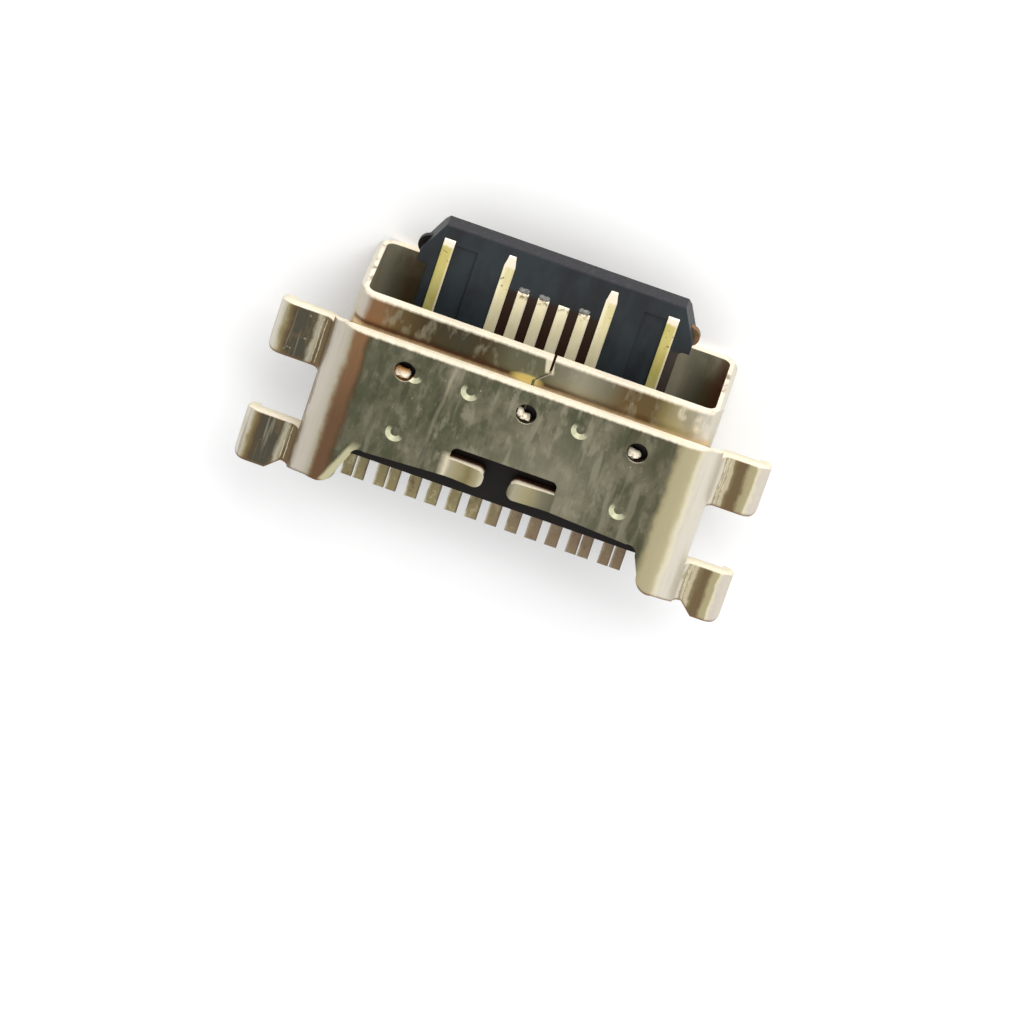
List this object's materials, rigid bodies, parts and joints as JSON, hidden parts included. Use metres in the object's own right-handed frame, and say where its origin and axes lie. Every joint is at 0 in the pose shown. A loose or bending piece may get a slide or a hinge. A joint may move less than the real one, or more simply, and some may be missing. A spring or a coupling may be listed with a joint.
{
  "type": "usb-c socket",
  "caption": "Board-mounted usb-c socket: a drawn oval shell round a contact tongue, under a folded metal cover with wide flat side legs and a row of flat solder tails.",
  "frame": {"origin": "centre of the plug mouth, in the plane of the shell's rim", "axes": "+X across the mouth, +Y the way the plug goes in, +Z out of the cover's flat face"},
  "size_m": [0.012, 0.0075, 0.0034],
  "materials": {
    "shell_metal": "drawn nickel-plated sheet, smooth and slightly dull",
    "bracket_metal": "stamped nickel-plated sheet, mottled, bright along its cut edges",
    "black_plastic": "moulded black plastic, satin",
    "insert_plastic": "moulded black plastic, matt",
    "plate_steel": "stamped steel sheet",
    "contact_gold": "gold-plated copper alloy strip"
  },
  "bodies": {
    "root": {"inner_shell": "shell_metal", "outer_bracket": "bracket_metal", "insulator_body": "black_plastic", "upper_contact_insert": "insert_plastic", "lower_contact_insert": "insert_plastic", "mid_plate": "plate_steel", "contact_a1": "contact_gold", "contact_a4": "contact_gold", "contact_a5": "contact_gold", "contact_a6": "contact_gold", "contact_a7": "contact_gold", "contact_a8": "contact_gold", "contact_a9": "contact_gold", "contact_a12": "contact_gold", "contact_b1": "contact_gold", "contact_b4": "contact_gold", "contact_b5": "contact_gold", "contact_b6": "contact_gold", "contact_b7": "contact_gold", "contact_b8": "contact_gold", "contact_b9": "contact_gold", "contact_b12": "contact_gold"}
  },
  "joints": []
}
